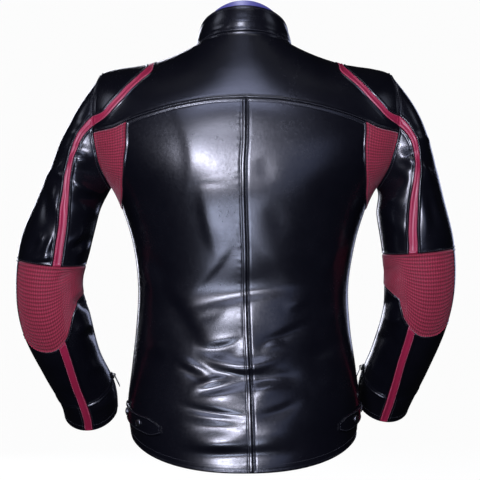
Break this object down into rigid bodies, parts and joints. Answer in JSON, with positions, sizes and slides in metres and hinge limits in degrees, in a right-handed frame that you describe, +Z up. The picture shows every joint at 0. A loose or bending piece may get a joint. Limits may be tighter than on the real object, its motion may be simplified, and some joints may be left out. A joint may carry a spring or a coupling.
{
  "type": "motorcycle jacket",
  "caption": "Waist-length leather motorcycle jacket with a stand collar, red shoulder and sleeve stripes, ribbed elbow and side panels and hem adjusters, held filled as worn.",
  "frame": {"origin": "middle of the neck opening at the height of the neck's sides, where the jacket hangs on its wearer or a bust", "axes": "the front faces -Y, +X is the wearer's left, +Z is up along the body"},
  "size_m": [0.668, 0.29, 0.6999],
  "materials": {
    "black_leather": "smooth black cowhide, semi-gloss with soft bluish highlights",
    "red_leather": "smooth crimson cowhide, semi-gloss",
    "red_ribbed_fabric": "crimson ribbed stretch fabric with a fine grid",
    "violet_lining": "blue-violet satin lining",
    "zip_tape": "black woven zip tape",
    "gunmetal": "dark gunmetal plating, semi-gloss"
  },
  "bodies": {
    "jacket": {"back_left": "black_leather", "back_right": "black_leather", "back_yoke": "black_leather", "collar": "black_leather", "collar_lining": "violet_lining", "cuff_zip_left_slider": "gunmetal", "cuff_zip_right_slider": "gunmetal", "cuff_zip_tape_back_left": "zip_tape", "cuff_zip_tape_back_right": "zip_tape", "cuff_zip_tape_front_left": "zip_tape", "cuff_zip_tape_front_right": "zip_tape", "elbow_patch_left": "red_ribbed_fabric", "elbow_patch_right": "red_ribbed_fabric", "forearm_outer_left": "black_leather", "forearm_outer_right": "black_leather", "forearm_stripe_left": "red_leather", "forearm_stripe_right": "red_leather", "forearm_under_left": "black_leather", "forearm_under_right": "black_leather", "front_left": "black_leather", "front_right": "black_leather", "front_zip_slider": "gunmetal", "front_zip_tape_left": "zip_tape", "front_zip_tape_right": "zip_tape", "hem_snap_inner_left": "gunmetal", "hem_snap_inner_right": "gunmetal", "hem_snap_outer_left": "gunmetal", "hem_snap_outer_right": "gunmetal", "hem_strap_left": "black_leather", "hem_strap_right": "black_leather", "shoulder_cap_left": "black_leather", "shoulder_cap_right": "black_leather", "shoulder_stripe_left": "red_leather", "shoulder_stripe_right": "red_leather", "side_panel_left": "red_ribbed_fabric", "side_panel_right": "red_ribbed_fabric", "upper_sleeve_outer_left": "black_leather", "upper_sleeve_outer_right": "black_leather", "upper_sleeve_stripe_left": "red_leather", "upper_sleeve_stripe_right": "red_leather", "upper_sleeve_under_left": "black_leather", "upper_sleeve_under_right": "black_leather"},
    "front_zip_pull": {"front_zip_pull": "gunmetal"},
    "cuff_zip_left_pull": {"cuff_zip_left_pull": "gunmetal"},
    "cuff_zip_right_pull": {"cuff_zip_right_pull": "gunmetal"}
  },
  "joints": [
    {"name": "front_zip_pull_swing", "type": "hinge", "parent": "jacket", "child": "front_zip_pull", "pos_m": [-0.00185, -0.09115, -0.07536], "axis": [-0.9969, 0.0502, 0.0606], "range_deg": [0, 150]},
    {"name": "cuff_zip_left_pull_swing", "type": "hinge", "parent": "jacket", "child": "cuff_zip_left_pull", "pos_m": [0.20265, -0.09534, -0.50695], "axis": [-0.1795, 0.825, -0.5359], "range_deg": [0, 150]},
    {"name": "cuff_zip_right_pull_swing", "type": "hinge", "parent": "jacket", "child": "cuff_zip_right_pull", "pos_m": [-0.18227, -0.09095, -0.49401], "axis": [-0.1997, -0.8033, 0.561], "range_deg": [0, 150]}
  ]
}
